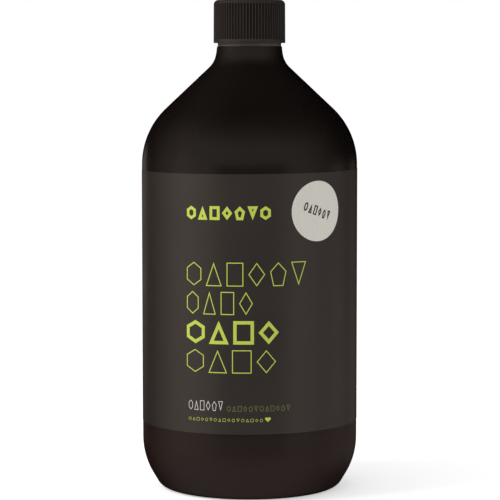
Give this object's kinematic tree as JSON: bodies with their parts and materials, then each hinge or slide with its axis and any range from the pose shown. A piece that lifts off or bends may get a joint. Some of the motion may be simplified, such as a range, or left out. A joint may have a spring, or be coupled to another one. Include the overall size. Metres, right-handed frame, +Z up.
{
  "type": "hand soap refill bottle",
  "caption": "Round dark plastic refill bottle with sloping shoulders, a ribbed screw cap over a threaded neck, a wrapped label and a round sticker, filled with liquid soap.",
  "frame": {"origin": "centre of the flat ring that the bottle stands on, in the plane of the ground", "axes": "+Z up along the axis of the bottle and its cap, -Y towards the viewer of the printed front, +X to that viewer's right"},
  "size_m": [0.0898, 0.0898, 0.2017],
  "materials": {
    "bottle": "glossy moulded plastic, near black",
    "cap": "satin moulded plastic, dark",
    "liner": "pale pressed foam",
    "label": "matt printed film, dark warm grey",
    "sticker": "matt film, pale grey",
    "soap": "clear liquid, pale yellow-green"
  },
  "bodies": {
    "bottle": {"bottle": "bottle", "label": "label", "round_sticker": "sticker", "hand_wash": "soap"},
    "liner": {"cap_liner": "liner"},
    "cap": {"cap": "cap"}
  },
  "joints": [
    {"name": "cap_rise", "type": "slide", "parent": "bottle", "child": "liner", "axis": [0, 0, 1], "range_m": [0, 0.00636]},
    {"name": "cap_turn", "type": "hinge", "parent": "liner", "child": "cap", "pos_m": [0, 0, 0.184], "axis": [0, 0, 1], "range_deg": [0, 540]}
  ],
  "couplings": [
    {"joint": "cap_rise", "follows": "cap_turn", "m_per_rad": 0.0006737}
  ]
}
